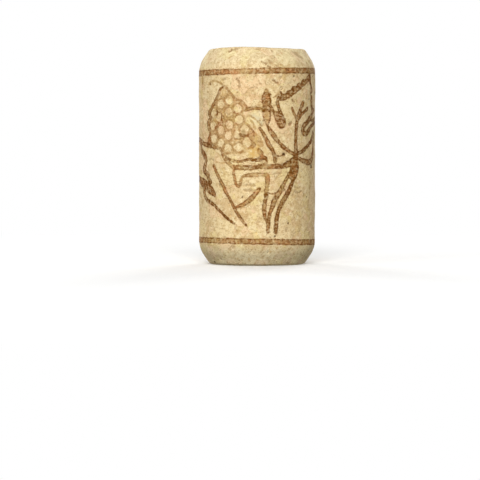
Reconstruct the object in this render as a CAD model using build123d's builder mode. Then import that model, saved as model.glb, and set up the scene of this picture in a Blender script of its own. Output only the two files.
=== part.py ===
from build123d import *
import os
from math import radians, tan

# A straight wine cork of bonded cork grains, cut and ground to shape as one piece.
# It stands on its lower end, with the origin at the middle of that end and +Z along the axis.

# Trade size No. 7: 13/16 in across and 1 1/2 in long.
inch = 25.4
body_diameter = 13 / 16 * inch
cork_length = 1.5 * inch

# Both ends are ground to a taper, which starts the cork into the neck that it plugs.
end_face_diameter = 16.9
taper_angle = 33  # from the cork's axis
shoulder_radius = 4.0  # the soft turn from the taper into the straight body
rim_radius = 0.6  # the worn edge round each flat end

body_radius = body_diameter / 2
end_face_radius = end_face_diameter / 2
taper_length = (body_radius - end_face_radius) / tan(radians(taper_angle))

# The body is turned from half of its long section. The profile goes up the outside, from the
# lower end's middle to the upper end's middle, and is closed along the axis.
with BuildPart() as cork:
    with BuildSketch(Plane.XZ) as half_section:
        with BuildLine():
            Polyline(
                (0, 0),
                (end_face_radius, 0),
                (body_radius, taper_length),
                (body_radius, cork_length - taper_length),
                (end_face_radius, cork_length),
                (0, cork_length),
                close=True,
            )
        make_face()
        shoulders = half_section.vertices().group_by(Axis.X)[-1]
        fillet(shoulders, radius=shoulder_radius)
        rims = half_section.vertices().group_by(Axis.X)[1]
        fillet(rims, radius=rim_radius)
    revolve(axis=Axis.Z)

cork.part.label = "cork"

# The straight stretch between the two shoulders is what the neck can grip.
straight_faces = cork.faces().filter_by(GeomType.CYLINDER)
grip = straight_faces.sort_by(SortBy.AREA)[-1].bounding_box()
print("straight body from", round(grip.min.Z, 3), "to", round(grip.max.Z, 3))
print("volume in cubic mm", round(cork.part.volume, 1))

os.makedirs("parts", exist_ok=True)
export_step(cork.part, "parts/cork.step")
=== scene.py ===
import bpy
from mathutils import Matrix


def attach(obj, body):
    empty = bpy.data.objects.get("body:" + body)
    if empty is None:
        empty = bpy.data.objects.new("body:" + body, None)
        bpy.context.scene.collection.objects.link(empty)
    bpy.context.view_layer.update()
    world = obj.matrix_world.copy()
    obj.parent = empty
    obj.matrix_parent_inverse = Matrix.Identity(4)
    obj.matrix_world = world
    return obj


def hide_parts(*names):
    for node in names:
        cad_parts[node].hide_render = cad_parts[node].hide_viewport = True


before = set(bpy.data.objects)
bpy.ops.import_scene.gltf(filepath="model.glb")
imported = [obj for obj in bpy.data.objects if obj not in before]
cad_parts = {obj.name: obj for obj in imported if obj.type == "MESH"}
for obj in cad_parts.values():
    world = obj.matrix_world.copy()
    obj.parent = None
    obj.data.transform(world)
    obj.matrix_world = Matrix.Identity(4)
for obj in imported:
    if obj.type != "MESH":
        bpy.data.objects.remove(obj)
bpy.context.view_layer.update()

from math import cos, pi, radians, sin, tan

import bmesh
import bpy
import numpy as np

# The cork. Cork grains are pressed together with glue, cut to length and ground round, with a taper
# at both ends. It is one piece, so one mesh stands for it. It has the CAD's profile, and gets its
# print, its cracks and the relief of its grains after that.
mm = 0.001
inch = 25.4 * mm
body_radius = 13 / 32 * inch
length = 1.5 * inch
middle = length / 2
end_radius = 8.45 * mm
taper_angle = radians(33)
shoulder_radius = 4.0 * mm
rim_radius = 0.6 * mm
columns = 360  # one quad is then 0.18 mm wide, which leaves the mesh under 200,000 triangles
shoulder_steps, rim_steps = 13, 2
body_cuts, taper_cuts = (26, 5), 13  # the body is cut into 27 rows, and each of those into 6
taper = (body_radius - end_radius) / tan(taper_angle)
shoulder_run = shoulder_radius * tan(taper_angle / 2)
rim_run = rim_radius * tan((pi / 2 - taper_angle) / 2)
straight = length - 2 * taper - 2 * shoulder_run
near = 0.01 * mm

bpy.ops.object.select_all(action="DESELECT")
bpy.ops.mesh.primitive_cylinder_add(
    vertices=columns, radius=body_radius, depth=length - 2 * taper, location=(0, 0, middle)
)
cork = bpy.context.object
cork.name = cork.data.name = "wine_cork"
bpy.ops.object.transform_apply(location=True)
bpy.ops.object.mode_set(mode="EDIT")
bpy.ops.mesh.select_mode(type="EDGE")


def pick(kind, test):
    """Selects the edges or faces of the mesh in hand that pass a test, and nothing else."""
    bpy.ops.mesh.select_all(action="DESELECT")
    drawn = bmesh.from_edit_mesh(bpy.context.object.data)
    for piece in getattr(drawn, kind):
        if test(piece):
            piece.select_set(True)
    bmesh.update_edit_mesh(bpy.context.object.data)


def flat_at(height):
    """A test for the edges that lie level at a height."""
    return lambda edge: all(abs(corner.co.z - height) < near for corner in edge.verts)


def rising_about(height, reach, least):
    """A test for the edges that rise by at least so much, with their middle near a height."""

    def test(edge):
        low, high = sorted(corner.co.z for corner in edge.verts)
        return abs((low + high) / 2 - height) < reach and high - low > least

    return test


# Both ends are drawn out to the taper, and its corners rounded as the CAD's are.
for side in (-1, 1):
    pick("faces", lambda face: face.normal.z * side > 0.9)
    bpy.ops.mesh.extrude_region_move(TRANSFORM_OT_translate={"value": (0, 0, side * taper)})
    shrink = end_radius / body_radius
    bpy.ops.transform.resize(
        value=(shrink, shrink, 1), center_override=(0, 0, middle + side * middle)
    )
for low, high, run, steps in (
    (taper, length - taper, shoulder_run, shoulder_steps),
    (0, length, rim_run, rim_steps),
):
    for height in (low, high):
        pick("edges", flat_at(height))
        bpy.ops.mesh.bevel(offset=run, segments=steps, profile=0.5, affect="EDGES")

# The long runs are cut into rows of square quads, and the flat ends are filled with a grid of them.
for cuts in body_cuts:
    pick("edges", rising_about(middle, straight / 2, least=0.3 * mm))
    bpy.ops.mesh.subdivide(number_cuts=cuts)
for side in (-1, 1):
    pick("edges", rising_about(middle + side * (middle - taper / 2), 0.9 * mm, least=1.2 * mm))
    bpy.ops.mesh.subdivide(number_cuts=taper_cuts)
    pick("faces", lambda face: face.normal.z * side > 0.99)
    bpy.ops.mesh.delete(type="ONLY_FACE")
    pick("edges", flat_at(middle + side * middle))
    bpy.ops.mesh.fill_grid(span=columns // 4)
bpy.ops.mesh.select_all(action="SELECT")
bpy.ops.mesh.remove_doubles(threshold=0.001 * mm)
bpy.ops.mesh.normals_make_consistent(inside=False)
bpy.ops.object.mode_set(mode="OBJECT")
bpy.ops.object.shade_smooth()

# The printing. A roller prints a plain ring near each end and, between them, a grapevine that comes
# twice in a turn. It is laid out here flat, in mm: how far round the cork to the right of the front,
# how far up from the lower end, and how wide the line is there.
radius = body_radius / mm
turn = 2 * pi * radius
repeat = turn / 2
# How much ink a line carries, from least to most.
faint, light, soft, ruddy, even = 0.1, 0.2, 0.34, 0.4, 0.48
firm, strong, heavy, full = 0.54, 0.6, 0.75, 0.85
vine = []  # for each line its ink and its points


def line(ink, width, *points):
    """Draws one line of the print. A third number at a point is the line's width there."""
    vine.append((ink, [(*point, width)[:3] for point in points]))


# The bunch: round its grapes the ink runs together. The lower right of it is rubbed, and there only
# part of each ring is left, from one angle to another.
grapes = (
    (-6.2, 30.1), (-5.15, 28.8), (-6.9, 28.15), (-3.5, 27.3), (-5.2, 26.7), (-8.65, 26.6),
    (-7.2, 25.8), (-3.25, 25.4), (-8.65, 24.4), (-5.05, 24.5), (-6.85, 23.6), (-5.25, 22.7),
    (-8.5, 22.15), (-6.9, 21.35), (-5.4, 20.45),
)
rubbed = (
    (-2.25, 23.7, -50, 200), (-3.55, 22.8, 120, 330), (-1.85, 21.4, -75, 60), (-1.85, 21.4, 130, 215),
    (-3.3, 20.6, 60, 150), (-3.3, 20.6, 200, 320),
)
for across, up, start, end in [(*grape, 0, 360) for grape in grapes] + list(rubbed):
    for ink, reach, width in ((light, 1.0, 0.34), (soft, 0.86, 0.15)):
        sweep = np.radians(np.linspace(start, end, 13))
        line(ink, width, *[(across + reach * cos(a), up + reach * sin(a)) for a in sweep])
line(faint, 1.0, (-6.2, 30.2), (-6.2, 29.9))
line(faint, 1.3, (-1.2, 23.2, 0.8), (-0.6, 22.5), (0.1, 21.8), (0.6, 21.0, 0.8))
line(light, 0.6, (-4.6, 21.9, 0.4), (-3.6, 21.85), (-2.6, 22.0, 0.4))
line(soft, 0.5, (-3.1, 22.9, 0.4), (-2.5, 22.6), (-1.8, 22.6), (-1.0, 23.1, 0.3))
line(even, 0.2, (-3.0, 22.6), (-2.2, 22.5), (-1.5, 22.7))
line(light, 0.2, (-1.4, 26.1), (-0.6, 25.6), (0.1, 25.0), (0.5, 24.4))
line(light, 0.35, (-1.1, 25.2), (-0.7, 24.6), (-0.4, 23.8))
line(even, 0.3, (-1.2, 23.9), (-0.7, 23.2), (-0.6, 22.5))
line(soft, 0.2, (-0.9, 21.6), (-0.45, 21.3), (-0.35, 20.95), (-0.8, 20.5))
line(firm, 0.6, (-6.3, 31.15, 0.35), (-7.15, 30.6, 0.4), (-7.5, 29.7, 0.5), (-8.1, 28.8),
     (-9.0, 27.6, 0.65), (-9.75, 26.6, 0.85), (-9.35, 25.8, 0.5), (-9.9, 25.2, 0.8), (-9.95, 24.2, 0.9),
     (-9.55, 23.3, 0.5), (-9.7, 22.6), (-10.0, 21.8, 0.85), (-9.2, 21.0, 0.75), (-8.2, 20.6),
     (-7.4, 20.5, 0.4))
line(soft, 0.38, (-6.3, 31.2), (-5.6, 30.9), (-5.15, 30.3), (-4.6, 29.75), (-3.95, 29.0), (-3.4, 28.75),
     (-2.8, 28.6), (-2.2, 27.95), (-1.7, 27.2))
line(ruddy, 0.4, (-8.1, 24.0, 0.5), (-7.6, 24.5, 0.3), (-7.1, 24.7), (-6.2, 25.0, 0.3), (-6.2, 25.9),
     (-5.9, 26.4, 0.3))
line(heavy, 0.3, (-7.75, 27.1), (-7.6, 26.7), (-7.65, 26.3))
line(heavy, 0.25, (-6.75, 26.4), (-6.65, 25.9), (-6.75, 25.4))
line(even, 0.25, (-6.15, 26.2), (-6.05, 25.6))
line(light, 0.3, (-6.0, 31.1), (-6.8, 31.7), (-7.8, 32.1), (-9.0, 32.2), (-9.9, 31.7, 0.5))
line(light, 0.7, (-12.4, 33.2), (-12.3, 32.2), (-12.2, 31.3, 0.4))

# The twig that the bunch hangs from, and its two ends, which are hatched.
line(even, 0.6, (-2.1, 27.0, 0.5), (-1.0, 27.35), (0.4, 27.3, 0.45), (1.3, 27.0, 0.4))
line(even, 1.3, (1.45, 29.5, 1.15), (1.5, 28.8, 1.4), (1.55, 28.1, 1.3), (1.6, 27.5, 1.1))
line(faint, 1.0, (1.55, 26.9, 0.9), (1.6, 26.3, 1.2), (1.65, 25.6, 1.1), (1.7, 24.9, 0.7),
     (1.75, 24.5, 0.4))
line(soft, 0.9, (1.45, 30.5, 0.35), (1.5, 30.25, 0.75), (1.55, 30.0, 0.85))
line(heavy, 0.25, (1.1, 29.85), (1.7, 29.9), (2.3, 29.75, 0.15))
line(ruddy, 0.3, (0.95, 29.6), (0.8, 28.9), (0.95, 28.2), (1.1, 27.4), (0.95, 26.5), (1.15, 25.6),
     (1.45, 24.8), (1.7, 24.4))
line(strong, 0.25, (2.1, 29.6), (2.25, 28.8), (2.15, 28.0), (2.15, 27.2), (2.2, 26.4, 0.22),
     (2.15, 25.6, 0.22), (1.95, 24.9, 0.22), (1.8, 24.4))
for up, width in ((29.4, 0.18), (28.95, 0.25), (28.45, 0.5), (27.7, 0.25), (26.9, 0.35), (25.3, 0.22)):
    line(heavy, width, (0.95, up - 0.08), (1.5, up + 0.05), (2.15, up - 0.04))
line(soft, 1.0, (3.2, 26.5, 0.8), (3.6, 25.9, 1.1), (4.0, 25.1, 1.2), (4.25, 24.5, 1.0))
line(even, 0.4, (2.2, 27.8, 0.5), (2.5, 27.2, 0.5), (2.95, 26.5), (3.15, 25.9), (3.35, 25.2),
     (3.7, 24.4), (4.1, 24.05))
line(heavy, 0.5, (3.75, 29.2, 0.5), (3.5, 28.6, 0.5), (3.65, 27.7, 0.55), (4.0, 26.9, 0.5),
     (4.5, 26.1, 0.4), (4.85, 25.2, 0.45), (4.8, 24.5, 0.45), (4.2, 24.0, 0.4))
for up, left, right, width in (
    (26.65, 2.8, 4.2, 0.36), (25.95, 3.2, 4.6, 0.32), (25.35, 3.4, 4.8, 0.42), (24.45, 4.0, 4.6, 0.75),
):
    line(heavy, width, (left, up), (right, up - 0.05))

# The leaf: a saw-toothed upper edge, a midrib with side veins, and a curled lobe.
line(soft, 0.18, (2.8, 29.2), (3.4, 29.65), (4.2, 30.15))
line(heavy, 0.3, (4.1, 30.1), (4.3, 29.8))
line(heavy, 0.9, (4.1, 29.0, 0.6), (4.7, 29.3, 1.2), (5.3, 29.4, 0.75), (5.8, 29.85, 1.3),
     (6.4, 30.05, 0.8), (6.9, 30.6, 1.3), (7.6, 30.75, 0.8), (8.1, 31.2, 1.25), (8.8, 31.5, 0.8),
     (9.3, 31.95, 1.1), (10.1, 32.2, 0.75), (10.7, 32.65, 0.95), (11.3, 33.2, 0.7))
line(heavy, 0.7, (11.4, 33.5), (11.5, 32.5, 0.8), (11.8, 31.7, 0.5), (12.1, 30.8, 0.9),
     (11.9, 30.0, 0.5), (12.2, 29.2, 0.8), (12.1, 28.2, 0.7), (12.8, 27.3, 0.9), (13.8, 27.3, 0.5))
line(heavy, 0.6, (9.1, 28.5, 0.65), (8.7, 27.8, 0.75), (8.2, 26.8, 0.75), (7.8, 25.8, 0.75),
     (7.5, 25.0, 0.7), (7.35, 23.8, 0.7), (7.25, 22.3, 0.7), (7.25, 20.8, 0.7), (7.4, 19.6, 0.9))
line(even, 0.5, (6.45, 27.4, 0.45), (6.75, 26.7), (7.2, 26.0), (7.55, 25.3))
line(heavy, 0.55, (10.4, 27.4, 0.7), (9.7, 27.0), (8.8, 26.5, 0.6), (8.0, 25.7))
line(heavy, 0.85, (13.4, 27.0, 0.6), (12.0, 26.1, 0.8), (11.2, 25.6, 1.0), (10.2, 24.95, 0.85),
     (9.3, 24.4), (9.0, 23.7), (9.4, 23.1, 0.95), (10.2, 23.1), (11.0, 23.7), (11.9, 24.3, 0.7),
     (13.4, 24.8, 0.6), (15.0, 25.2, 0.4))
line(heavy, 0.5, (11.9, 25.4, 0.3), (13.2, 25.5, 0.5), (14.6, 25.9, 0.5))
line(heavy, 0.6, (7.6, 19.5), (8.6, 19.85), (9.6, 20.35, 0.75), (10.5, 20.9, 0.6), (11.6, 21.55, 0.75),
     (12.4, 22.4, 0.6), (12.8, 23.4, 0.4))
line(heavy, 0.6, (13.9, 23.8, 0.3), (13.3, 22.2, 0.5), (13.0, 20.6, 0.65), (12.6, 19.3, 1.0),
     (11.9, 18.3, 0.95), (10.9, 18.05, 1.0), (9.7, 18.2, 0.9), (8.6, 18.5, 0.7), (7.7, 18.9, 0.5))

# The canes, which cross under the bunch and run down to the lower ring.
line(strong, 0.6, (1.8, 24.2, 0.4), (2.2, 23.5, 0.7), (2.8, 22.75, 0.85), (3.3, 22.0, 0.75),
     (4.0, 21.3), (4.8, 20.6), (5.6, 20.0, 0.65), (7.0, 19.4, 0.6))
line(even, 0.3, (4.1, 20.8), (5.0, 20.2), (6.0, 19.7))
line(strong, 0.6, (0.4, 23.9, 0.4), (1.0, 23.0, 0.6), (1.5, 22.0, 0.7), (2.0, 21.0, 0.75),
     (2.6, 20.1, 0.65), (2.95, 19.2), (3.05, 18.2))
line(even, 0.22, (3.0, 19.4), (3.8, 19.1), (4.5, 19.25))
line(heavy, 0.9, (6.7, 18.35, 1.2), (5.6, 17.7, 1.05), (4.6, 17.4, 0.85), (3.2, 17.3, 0.8))
line(firm, 0.85, (3.4, 17.3, 0.9), (1.8, 17.25, 0.8), (0.6, 17.2, 0.6))
line(even, 0.4, (0.8, 17.55), (-0.6, 17.3), (-2.0, 17.35), (-3.2, 17.4), (-4.2, 17.3))
line(even, 0.32, (0.8, 17.2), (-0.8, 16.85), (-2.4, 16.8), (-4.2, 16.95))
line(heavy, 0.5, (-1.0, 18.3, 0.3), (0.1, 18.45, 0.65), (0.8, 18.8, 0.8), (1.4, 18.75, 0.6))
line(even, 0.4, (1.3, 18.8), (1.55, 18.4), (1.4, 17.9), (0.8, 17.5, 0.4))
line(ruddy, 0.7, (0.2, 20.3, 0.4), (0.5, 19.7, 0.9), (0.8, 19.1, 0.5))
line(even, 0.45, (-7.0, 20.5), (-6.3, 19.4), (-5.4, 18.7), (-4.4, 18.3), (-3.2, 18.15),
     (-2.1, 18.4), (-0.9, 18.7, 0.3))
line(ruddy, 0.6, (-6.6, 19.5, 0.4), (-5.7, 18.4, 0.7), (-4.9, 17.6, 0.7), (-4.2, 17.1))
line(light, 0.3, (-6.2, 20.1), (-5.1, 19.65), (-4.0, 19.8))
line(full, 1.3, (7.5, 19.5, 0.9), (7.2, 18.7, 1.2), (7.1, 17.8, 1.75), (7.0, 16.9, 1.9),
     (6.75, 16.1, 1.8), (6.5, 15.7, 1.5))
line(strong, 0.6, (6.1, 16.4, 0.5), (5.5, 15.5, 0.6), (5.0, 14.7), (4.5, 13.9, 0.7), (4.0, 13.0, 0.85),
     (3.4, 12.1, 0.85), (2.9, 11.2, 0.9), (2.5, 10.1, 0.7), (2.1, 9.0), (1.9, 7.6), (1.8, 6.0))
line(heavy, 0.7, (7.6, 17.0, 0.6), (7.2, 16.0, 0.7), (6.7, 15.0, 0.75), (6.2, 14.0), (5.7, 13.0, 0.8),
     (5.1, 12.1, 0.85), (4.5, 11.2, 0.85), (3.9, 10.1, 0.7), (3.5, 9.0), (3.3, 7.6), (3.2, 6.0))
line(ruddy, 0.5, (-4.2, 17.2, 0.4), (-4.25, 16.1, 0.5), (-4.0, 15.0, 0.45), (-3.8, 14.2, 0.5),
     (-3.3, 13.85), (-2.95, 14.5, 0.45), (-2.7, 15.4, 0.4), (-2.0, 15.75, 0.55), (-0.9, 15.85, 0.7),
     (0.3, 15.9, 0.65), (1.2, 15.9, 0.5), (1.65, 15.8, 0.8), (1.75, 14.9, 0.75), (1.65, 13.9, 0.7),
     (1.5, 13.0, 0.7))
line(faint, 0.25, (1.45, 16.05), (1.75, 15.95), (1.8, 15.5))
line(heavy, 0.25, *[(1.5 + 0.28 * cos(a), 12.25 + 0.3 * sin(a)) for a in np.radians(range(0, 361, 40))])
line(strong, 0.7, (1.45, 11.9, 0.5), (1.3, 11.2), (1.15, 10.0), (1.3, 8.6, 0.5), (1.7, 7.4, 0.3))
line(even, 0.2, (1.6, 12.75), (2.6, 12.6), (3.6, 12.75), (4.3, 13.0), (5.0, 13.35))
line(firm, 0.7, (0.35, 13.45, 0.45), (0.0, 13.05, 0.75), (-0.6, 12.3, 0.7), (-1.2, 11.7, 0.9),
     (-2.0, 11.05, 0.75), (-2.9, 10.6, 0.6), (-4.0, 10.2, 0.35))
line(light, 0.2, (-8.0, 18.1), (-7.0, 17.9), (-6.0, 17.95))
line(firm, 0.5, (-8.5, 17.5, 0.6), (-8.0, 16.5, 0.6), (-7.3, 15.4, 0.6), (-6.5, 14.2, 0.7),
     (-5.9, 13.1, 0.65), (-5.2, 12.0), (-4.6, 11.0), (-3.9, 9.7), (-2.9, 8.2), (-1.9, 7.0, 0.3))
line(heavy, 0.7, (-16.2, 21.6), (-15.0, 22.1), (-13.6, 21.9, 0.8), (-12.4, 21.5, 0.8), (-11.4, 21.2),
     (-10.4, 21.1, 0.9), (-9.4, 20.9, 0.8))
line(heavy, 0.9, (-13.4, 21.6), (-13.1, 20.7, 0.8), (-12.6, 19.9, 0.9), (-11.6, 19.3, 1.2),
     (-10.9, 18.6, 0.8), (-11.1, 17.7, 0.9), (-11.6, 17.0, 1.2), (-11.2, 16.3, 1.0), (-10.3, 15.9, 0.95),
     (-10.1, 15.3, 0.9), (-9.5, 14.6, 0.9))
line(full, 1.2, (-16.2, 15.3, 0.7), (-14.4, 15.1, 1.1), (-12.9, 14.7, 1.35), (-11.7, 14.35, 1.7),
     (-10.8, 14.0, 1.5), (-10.0, 13.5, 1.6), (-9.3, 13.1, 1.4), (-8.6, 12.6, 0.9), (-8.2, 12.2, 0.4))
line(heavy, 0.7, (-11.5, 13.8), (-11.5, 12.8, 0.8), (-11.1, 12.0), (-10.4, 11.4), (-9.4, 11.0),
     (-8.3, 10.5, 0.55), (-7.0, 9.5, 0.45), (-5.6, 8.4, 0.45), (-4.2, 7.4, 0.3))


def pen_path(points, steps=5):
    """An even curve through the points, which is how the roller's engraver would have joined them.
    Each run between two points is divided into a few steps."""
    p = np.array(points)
    p = np.vstack([2 * p[0] - p[1], p, 2 * p[-1] - p[-2]])
    t = np.arange(steps)[:, None] / steps
    runs = [
        b + 0.5 * t * (c - a + t * (2 * a - 5 * b + 4 * c - d + t * (3 * (b - c) + d - a)))
        for a, b, c, d in zip(p, p[1:], p[2:], p[3:])
    ]
    return np.vstack([*runs, p[-2:-1]])


far = 9.0  # mm, for a place that no line is near


def from_lines(lines, across, up, period, margin=1.5):
    """For places on the flat layout, how far each is from the nearest line's edge, in mm and less
    than nothing inside the line, and how much ink that line carries. Where lines cross, the one
    with more ink shows. The layout comes again after each period."""
    outside, carried = np.full(len(up), far), np.full(len(up), even)
    for ink, points in lines:
        path = pen_path(points)
        beside = np.flatnonzero((up > path[:, 1].min() - margin) & (up < path[:, 1].max() + margin))
        gap = np.full(len(beside), far)
        for (s0, z0, w0), (s1, z1, w1) in zip(path, path[1:]):
            right = (across[beside] - s0 + period / 2) % period - period / 2
            over = up[beside] - z0
            run, rise = s1 - s0, z1 - z0
            along = np.clip((right * run + over * rise) / (run**2 + rise**2), 0, 1)
            half_width = (w0 + (w1 - w0) * along) / 2
            gap = np.minimum(gap, np.hypot(right - along * run, over - along * rise) - half_width)
        nearest = (gap < outside[beside]) & (outside[beside] > 0)
        inkier = (gap < 0) & (ink > carried[beside])
        carried[beside[nearest | inkier]] = ink
        outside[beside] = np.minimum(outside[beside], gap)
    return outside, carried


def keep(name, values):
    """Stores a number for each vertex of the cork."""
    cork.data.attributes.new(name, "FLOAT", "POINT").data.foreach_set("value", values.astype(np.float32))


places = np.empty(len(cork.data.vertices) * 3)
cork.data.vertices.foreach_get("co", places)
x, y, z = places.reshape(-1, 3).T / mm
bearing = np.arctan2(x, -y)
around = bearing * radius
outside, carried = from_lines(vine, around, z, repeat)
# The rings stand a little askew, with a wavy edge, and the upper one is worn thin in front.
half_ring = 0.48
for height, lean, wear in ((34.0, 0.3, 0.18), (4.1, -0.3, 0.0)):
    ring = height + lean * np.sin(bearing - 0.83) + 0.025 * np.sin(21 * bearing)
    worn = wear * np.exp(-(((bearing + 0.3) / 0.22) ** 2))
    from_ring = np.abs(z - ring) - half_ring + 0.3 * worn + 0.02 * np.sin(34 * bearing)
    closer = from_ring < outside
    outside[closer], carried[closer] = from_ring[closer], firm - worn[closer]
outside[np.hypot(x, y) < radius - 0.15] = far  # the roller doesn't reach the tapers and ends
keep("print_edge", outside)
keep("print_ink", carried)

# Where grains have come apart or a crumb is lost there are short cracks and dents. They are laid out
# as the print is, but each comes only once, and has a depth in place of ink, which also sets how much
# painted shade darkens it.
slight, clear, deep = 0.5, 0.8, 1.0
cracks = [
    (depth, [(*point, width)[:3] for point in points])
    for depth, width, *points in (
        (clear, 0.26, (0.8, 35.4, 0.3), (1.4, 35.0), (2.2, 34.4)),
        (slight, 0.35, (1.9, 35.6), (2.6, 35.1)),
        (slight, 1.1, (8.6, 37.3, 0.5), (9.4, 36.9), (10.3, 36.4, 0.6)),
        (clear, 0.4, (-6.0, 37.3), (-5.6, 37.5)),
        (slight, 0.35, (-5.1, 37.6), (-4.0, 37.8)),
        (slight, 0.3, (3.1, 37.6), (3.4, 37.3)),
        (clear, 0.4, (2.7, 32.15, 0.25), (3.25, 31.85), (3.5, 31.7)),
        (slight, 0.2, (-1.6, 30.6), (-0.9, 30.85), (-0.1, 30.9)),
        (slight, 0.25, (0.4, 31.6), (0.75, 31.3)),
        (slight, 0.45, (-3.6, 32.4), (-3.25, 31.6), (-3.2, 31.0)),
        (slight, 0.25, (-6.5, 32.3), (-5.9, 32.45)),
        (clear, 0.25, (-9.7, 31.7), (-9.4, 31.6)),
        (clear, 0.2, (-3.7, 30.2), (-3.5, 30.1)),
        (deep, 0.36, (4.65, 19.4), (4.85, 19.45)),
        (slight, 0.22, (2.7, 16.0), (3.5, 16.1), (4.3, 16.0)),
        (slight, 0.3, (-2.3, 14.0), (-1.4, 14.1), (-0.5, 14.0)),
        (slight, 0.3, (-2.4, 13.2), (-1.6, 13.15), (-0.8, 13.2)),
        (slight, 0.3, (7.2, 12.9), (7.9, 12.7), (8.6, 12.9)),
        (slight, 0.25, (7.0, 13.8), (7.6, 13.55), (8.2, 13.6)),
        (slight, 0.2, (-13.0, 13.6), (-12.2, 13.4)),
        (slight, 0.2, (-7.4, 14.2), (-6.9, 13.9)),
        (slight, 0.2, (-10.0, 18.4), (-9.2, 18.6), (-8.6, 18.4)),
        (clear, 0.4, (5.8, 24.7), (6.4, 24.85)),
        (clear, 0.3, (0.2, 25.3), (0.5, 24.8), (0.8, 24.4)),
        (slight, 0.45, (-0.9, 25.9), (-0.3, 25.7), (0.3, 25.5)),
        (slight, 0.3, (0.2, 21.6), (0.6, 21.4)),
        (clear, 0.25, (6.4, 28.9), (6.8, 28.6)),
        (slight, 0.35, (14.5, 30.4), (15.2, 30.0), (15.4, 29.3)),
        (slight, 0.25, (22.0, 27.5), (23.1, 27.2), (23.9, 27.6)),
        (deep, 0.45, (27.4, 12.6), (27.6, 12.7)),
        (slight, 0.25, (-20.3, 19.2), (-19.2, 19.5), (-18.5, 19.1)),
        (clear, 0.4, (-25.2, 30.6), (-24.9, 30.2)),
    )
]
crack_edge, crack_depth = from_lines(cracks, around, z, turn)
keep("crack_edge", crack_edge)
keep("crack_depth", crack_depth)


class Wire:
    """A socket of a node tree, or with no socket the tree itself, to which nodes are added. Arithmetic
    on it adds Math nodes and gives the answer's socket."""

    def __init__(self, tree, socket=None):
        self.tree, self.socket = tree, socket

    def node(self, kind, settings, inputs, output=0):
        """Adds a node of this tree: its settings first, then the values or links of its sockets."""
        made = self.tree.nodes.new(kind)
        for name, value in settings.items():
            setattr(made, name, value)
        for name, value in inputs.items():
            if isinstance(value, Wire):
                self.tree.links.new(value.socket, made.inputs[name])
            else:
                made.inputs[name].default_value = value
        return Wire(self.tree, made.outputs[output])

    def stored(self, name):
        """A number that keep() gave to each vertex."""
        if self.tree.type == "GEOMETRY":
            return self.node("GeometryNodeInputNamedAttribute", {}, {"Name": name})
        return self.node("ShaderNodeAttribute", {"attribute_name": name}, {}, "Fac")

    def math(self, operation, *values):
        return self.node("ShaderNodeMath", {"operation": operation}, dict(enumerate(values)))

    def __add__(self, other):
        return self.math("ADD", self, other)

    def __sub__(self, other):
        return self.math("SUBTRACT", self, other)

    def __rsub__(self, other):
        return self.math("SUBTRACT", other, self)

    def __mul__(self, other):
        return self.math("MULTIPLY", self, other)

    def __truediv__(self, other):
        return self.math("DIVIDE", self, other)

    __radd__, __rmul__ = __add__, __mul__

    def step(self, low, high):
        """0 below low and 1 above high, or the other way round, and smooth between."""
        return self.node(
            "ShaderNodeMapRange", {"interpolation_type": "SMOOTHSTEP"}, {0: self, 1: low, 2: high}
        )

    def size(self):
        """The number without its sign."""
        return self.math("ABSOLUTE", self, 0)

    def least(self, other):
        return self.math("MINIMUM", self, other)

    def most(self, other):
        return self.math("MAXIMUM", self, other)

    def part(self, name):
        """One number of a vector or colour."""
        return self.node("ShaderNodeSeparateXYZ", {}, {0: self}, name)

    def vector(self, operation, other, output=0):
        second = "Scale" if operation == "SCALE" else 1
        return self.node("ShaderNodeVectorMath", {"operation": operation}, {0: self, second: other}, output)

    def away(self, *move):
        """The place moved, so that a noise there has nothing to do with the same noise here."""
        return self.vector("ADD", move)

    def noise(self, scale, detail, output="Fac"):
        return self.node(
            "ShaderNodeTexNoise", {}, {"Vector": self, "Scale": scale, "Detail": detail}, output
        )

    def cells(self, scale, output, feature="F1"):
        return self.node(
            "ShaderNodeTexVoronoi", {"feature": feature}, {"Vector": self, "Scale": scale}, output
        )

    def mixed(self, other, amount, how="MIX"):
        """A colour mixed with another."""
        return self.node(
            "ShaderNodeMix", {"data_type": "RGBA", "blend_type": how}, {0: amount, 6: self, 7: other}, 2
        )


def grains(at):
    """The make-up of the cork at a place in mm: for each grain three numbers of its own, the
    distance to the grain's edge, where that edge gapes, the streaks of its cells, and its pits.
    Scales are in waves or cells to the mm."""
    bent = at.vector("ADD", at.noise(0.5, 2.0, "Color").vector("SCALE", 1.6))
    bent = bent.vector("ADD", at.noise(2.2, 1.0, "Color").vector("SCALE", 0.22))
    coarse, fine = 0.36, 0.8  # grains to the mm
    large = bent.cells(coarse, "Color")
    large_edge = bent.cells(coarse, "Distance", "DISTANCE_TO_EDGE") / coarse
    small = bent.cells(fine, "Color")
    small_edge = bent.cells(fine, "Distance", "DISTANCE_TO_EDGE") / fine
    # Somewhat over half of the large grains are broken up into small ones.
    broken_up = large.part("X").step(0.45, 0.451)
    own = large.mixed(small, broken_up)
    edge = large_edge.least(small_edge + (1 - broken_up) * far)
    gape = edge.step(0.13, 0.02) * at.away(7.3, 1.1, 4.2).noise(0.8, 3.0).step(0.5, 0.68)
    # The streaks run another way in each grain.
    turned = at.node(
        "ShaderNodeVectorRotate",
        {"rotation_type": "EULER_XYZ"},
        {"Vector": at, "Rotation": own.vector("SCALE", 6.28)},
    )
    streak = turned.vector("MULTIPLY", (3.2, 2.4, 0.7)).noise(1.0, 3.0)
    # Pits come in two sizes, each in a share of its own cells.
    holes = at.vector("ADD", at.noise(1.5, 1.0, "Color").vector("SCALE", 0.6))
    pit = 0
    for scale, share, size in ((0.3, 0.38, 0.42), (0.9, 0.2, 0.2)):
        reach = holes.cells(scale, "Color").part("X").step(1 - share, 1.0) * size
        pit = (holes.cells(scale, "Distance") / scale - reach).step(0.07, -0.07).most(pit)
    return own, edge, gape, streak, pit


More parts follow.
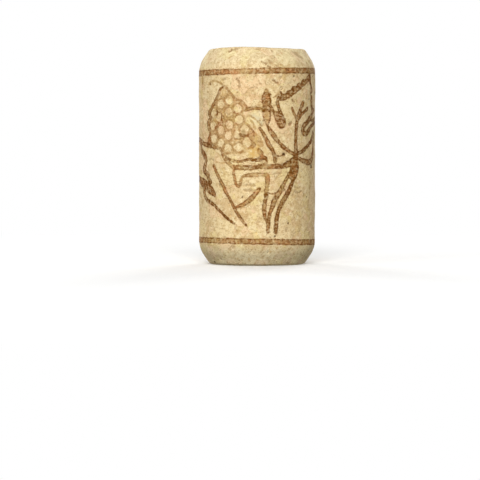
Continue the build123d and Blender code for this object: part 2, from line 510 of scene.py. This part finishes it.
def from_end(at):
    """How far a place is above the lower end or below the upper one, in mm, whichever is less."""
    return middle / mm - (at.part("Z") - middle / mm).size()


# The relief: grains ground a little higher and lower, with gaps, pits and nicked rims. All the
# numbers that a mask is multiplied with here are heights in mm.
relief = bpy.data.node_groups.new("cork_relief", "GeometryNodeTree")
for direction in ("INPUT", "OUTPUT"):
    relief.interface.new_socket("Geometry", in_out=direction, socket_type="NodeSocketGeometry")
tree = Wire(relief)
shape = tree.node("NodeGroupInput", {}, {})
at = tree.node("GeometryNodeInputPosition", {}, {}).vector("SCALE", 1 / mm)
own, edge, gape, streak, pit = grains(at)
height = (own.part("Z") - 0.5) * 0.05 * edge.step(0.0, 0.25)
height += (at.noise(0.22, 2.0) - 0.5) * 0.22 + (at.noise(1.6, 3.0) - 0.5) * 0.05
height += (streak - 0.5) * 0.04 - gape * 0.035 - pit * 0.3
from_axis = at.vector("MULTIPLY", (1, 1, 0)).vector("LENGTH", (0, 0, 0), "Value")
to_rim = (from_axis - end_radius / mm).size() + from_end(at)
nick = to_rim.step(0.7, 0.0) * at.away(3, 8, 1).noise(0.9, 3.0).step(0.5, 0.75)
crack = tree.stored("crack_edge").step(0.12, -0.08) * tree.stored("crack_depth")
# The upper end is rubbed lower at the front, to the right, and the lower end stands on its
# highest grains.
to_front_right = at.vector("DOT_PRODUCT", (0.545, -0.839, 0), "Value")
rubbed_end = at.part("Z").step(35.5, 38.0) * to_front_right.step(5.5, 9.0)
pressed = at.part("Z").step(0.4, 0.0)
height = height - nick * 0.3 - crack * 0.18 - rubbed_end * 0.42 - pressed * 0.07
lifted = tree.node("GeometryNodeInputNormal", {}, {}).vector("SCALE", height * mm)
moved = tree.node("GeometryNodeSetPosition", {}, {"Geometry": shape, "Offset": lifted})
relief.links.new(moved.socket, relief.nodes.new("NodeGroupOutput").inputs[0])
bpy.context.view_layer.objects.active = cork
cork.modifiers.new("relief", "NODES").node_group = relief
bpy.ops.object.modifier_apply(modifier="relief")


def paint(red, green, blue):
    """A colour as it looks, 0 to 255, as the shader's own numbers."""
    return tuple(((c / 255 + 0.055) / 1.055) ** 2.4 for c in (red, green, blue)) + (1.0,)


# The finish: pale tan grains, yellower and pinker by turns, with darker gaps and pits, cracks darkened
# by painted shade, tapers paler and greyer by a painted sheen, and brown ink that has sunk in and darkens
# the cork under it. All of it is matt.
finish = bpy.data.materials.new("printed_cork")
finish.use_nodes = True
shader = finish.node_tree.nodes["Principled BSDF"]
tree = Wire(finish.node_tree)
at = tree.node("ShaderNodeTexCoord", {}, {}, "Object").vector("SCALE", 1 / mm)
own, _, gape, streak, pit = grains(at)
mottle = at.noise(1.6, 4.0)
cracked = (tree.stored("crack_edge") + (at.noise(2.4, 4.0) - 0.5) * 0.9).step(0.16, -0.12)
crack_depth = tree.stored("crack_depth")
colour = tree.node("ShaderNodeRGB", {}, {})
colour.socket.default_value = paint(238, 214, 165)
for shade, share in (
    (paint(218, 188, 136), own.part("X")),  # grains from pale to dull
    (paint(240, 198, 154), own.part("Y").step(0.6, 1.0) * 0.5),  # pinker ones
    (paint(234, 210, 142), own.part("Y").step(0.4, 0.0) * 0.55),  # yellower ones
    (paint(205, 168, 118), own.part("Z").step(0.88, 0.95) * 0.4),  # a few brown ones
    (paint(208, 212, 184), from_end(at).step(4.2, 2.4) * 0.24),  # the tapers paler and greyer: a painted sheen where the light falls on them
    (paint(200, 166, 112), mottle.step(0.52, 0.75) * 0.8),  # darker mottling
    (paint(246, 226, 180), mottle.step(0.48, 0.3) * 0.8),  # paler mottling
    (paint(180, 142, 90), streak.step(0.56, 0.74) * 0.7),  # the streaks
    (paint(158, 118, 70), at.noise(3.4, 2.0).step(0.66, 0.74) * 0.6),  # specks
    (paint(162, 124, 76), at.noise(4.6, 4.0).step(0.53, 0.68) * 0.5),  # finer specks
    (paint(166, 126, 76), gape * 0.5),  # gaps between the grains
    (paint(104, 72, 40), pit * 0.85),  # pits
    (paint(140, 100, 56), cracked * crack_depth),  # cracks, darker the deeper they are: painted shade inside them
    (paint(84, 54, 26), cracked * crack_depth.step(0.85, 0.95)),  # the deepest cracks, darkest: more painted shade
):
    colour = colour.mixed(shade, share)

# Four patches in front stand out: a yellow grain under the bunch, a pale and a tan one beside it,
# and dirt on its rubbed part.
for across, up, reach, stain in (
    (-0.6, 19.9, 1.5, paint(214, 170, 92)),
    (-0.1, 25.6, 1.7, paint(234, 220, 180)),
    (-2.4, 22.8, 1.1, paint(156, 128, 82)),
    (-0.1, 23.4, 1.1, paint(224, 184, 130)),
):
    angle = across / radius
    heart = (radius * sin(angle), -radius * cos(angle), up)
    from_heart = at.vector("DISTANCE", heart, "Value") + (at.noise(0.9, 3.0) - 0.5) * 2.4
    colour = colour.mixed(stain, from_heart.step(reach, reach - 0.8) * mottle.step(0.3, 0.6) * 0.75)

# The ink is dense where a line carries much, along its edges, where it was squeezed out, and in
# blots and flecks. Thin ink is olive or reddish by turns. It multiplies the cork's own colour.
olive_ink, red_ink, full_ink = paint(240, 227, 205), paint(240, 200, 174), paint(132, 93, 47)
ragged = (at.noise(2.6, 3.0) - 0.5) * 0.3 - 0.05
print_edge = tree.stored("print_edge") + ragged
ink = tree.stored("print_ink")
squeezed = (print_edge + 0.12).size().step(0.16, 0.02)
blots = at.noise(0.9, 4.0).step(0.32, 0.68)
flecks = at.vector("MULTIPLY", (0.55, 0.55, 1.1)).noise(3.4, 2.0).step(0.36, 0.64)
density = ink + (squeezed * 0.6 + (blots - 0.5) * 0.35 + (flecks - 0.5) * 0.65) * (ink * 1.05)
reddened = at.away(9, 2, 6).noise(0.5, 2.0).step(0.44, 0.64) * ink.step(0.16, 0.42)
tint = tree.node("ShaderNodeRGB", {}, {})
tint.socket.default_value = olive_ink
tint = tint.mixed(red_ink, reddened.most(ink.step(0.78, 0.84)))
tint = tint.mixed(full_ink, density)
taken = at.away(2, 5, 9).noise(2.0, 3.0).step(0.38, 0.5)
colour = colour.mixed(tint, print_edge.step(0.1, -0.1) * (taken * 0.4 + 0.6), "MULTIPLY")
finish.node_tree.links.new(colour.socket, shader.inputs["Base Color"])
shader.inputs["Roughness"].default_value = 0.85
shader.inputs["Specular IOR Level"].default_value = 0.06
fine_relief = at.noise(4.5, 4.0) * 0.05 + streak * 0.05 - gape * 0.03
bump = tree.node("ShaderNodeBump", {}, {"Height": fine_relief * mm, "Distance": 1.0, "Strength": 1.0})
finish.node_tree.links.new(bump.socket, shader.inputs["Normal"])
cork.data.materials.append(finish)

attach(cork, "root")
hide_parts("cork")

# The floor is a plain pale board, which fades into the white background further out. What it sends
# to the cork is no more than the background's own light, so it doesn't brighten it from below.
soft_light = 0.28  # how bright the background is to the cork, where 1 is white


def where_seen(tree):
    """1 for what the camera sees, straight, in gloss or through glass, and 0 for what lights the cork."""
    seen = tree.node("ShaderNodeLightPath", {}, {}, "Is Camera Ray")
    for ray in ("Is Glossy Ray", "Is Transmission Ray"):
        seen = seen.most(tree.node("ShaderNodeLightPath", {}, {}, ray))
    return seen


bpy.ops.mesh.primitive_plane_add(size=2.0, location=(0, 0, 0))
floor = bpy.context.object
floor.name = "floor"
board = bpy.data.materials.new("pale_board")
board.use_nodes = True
board_shader = board.node_tree.nodes["Principled BSDF"]
board_shader.inputs["Base Color"].default_value = paint(244, 244, 243)
board_shader.inputs["Roughness"].default_value = 0.9
tree = Wire(board.node_tree)
seen = where_seen(tree)
brightness = seen * (1 - soft_light) + soft_light
white = tree.node("ShaderNodeEmission", {}, {"Color": (1, 1, 1, 1), "Strength": brightness})
from_cork = tree.node("ShaderNodeTexCoord", {}, {}, "Object").vector("LENGTH", (0, 0, 0), "Value")
faded = tree.node("ShaderNodeMixShader", {}, {0: from_cork.step(0.03, 0.16).most(1 - seen), 2: white})
board.node_tree.links.new(board_shader.outputs[0], faded.socket.node.inputs[1])
board.node_tree.links.new(faded.socket, board.node_tree.nodes["Material Output"].inputs[0])
floor.data.materials.append(board)

# The background is white where it is seen, and a soft even light elsewhere.
world = bpy.data.worlds.new("studio")
world.use_nodes = True
bpy.context.scene.world = world
backdrop = world.node_tree.nodes["Background"]
backdrop.inputs["Color"].default_value = (1, 1, 1, 1)
brightness = where_seen(Wire(world.node_tree)) * (1 - soft_light) + soft_light
world.node_tree.links.new(brightness.socket, backdrop.inputs["Strength"])

# Soft lamps: two in front, from the left and nearly head on, and two behind for the other sides. At a
# level of 1 a lamp alone shows a colour that faces it as it is written.
lamp_distance, lamp_size = 0.6, 0.25
for name, swung, raised, level in (
    ("lamp_left", -50, 25, 0.15),
    ("lamp_front", -4, 30, 0.88),
    ("lamp_back_right", 158, 12, 0.55),
    ("lamp_back_left", -150, 12, 0.5),
):
    out, rise = lamp_distance * cos(radians(raised)), lamp_distance * sin(radians(raised))
    bpy.ops.object.light_add(
        type="AREA",
        location=(out * sin(radians(swung)), -out * cos(radians(swung)), rise + middle),
        rotation=(radians(90 - raised), 0, radians(swung)),
    )
    lamp = bpy.context.object
    lamp.name = name
    lamp.data.size = lamp_size
    lamp.data.energy = level * (pi * lamp_distance) ** 2

# The camera stands as far off as the photograph's did, a little below the cork's middle and to its
# left, and looks slightly down, so that the cork comes where it is in the photograph.
camera_place = (-3.03 * mm, -335 * mm, 16.9 * mm)
looks_down = 2.17
bpy.ops.object.camera_add(location=camera_place, rotation=(radians(90 - looks_down), 0, 0))
camera = bpy.context.object
camera.data.sensor_width = 36
camera.data.lens = 140.9
camera.data.clip_start, camera.data.clip_end = 0.01, 5.0
bpy.context.scene.camera = camera
bpy.context.scene.view_settings.view_transform = "Standard"
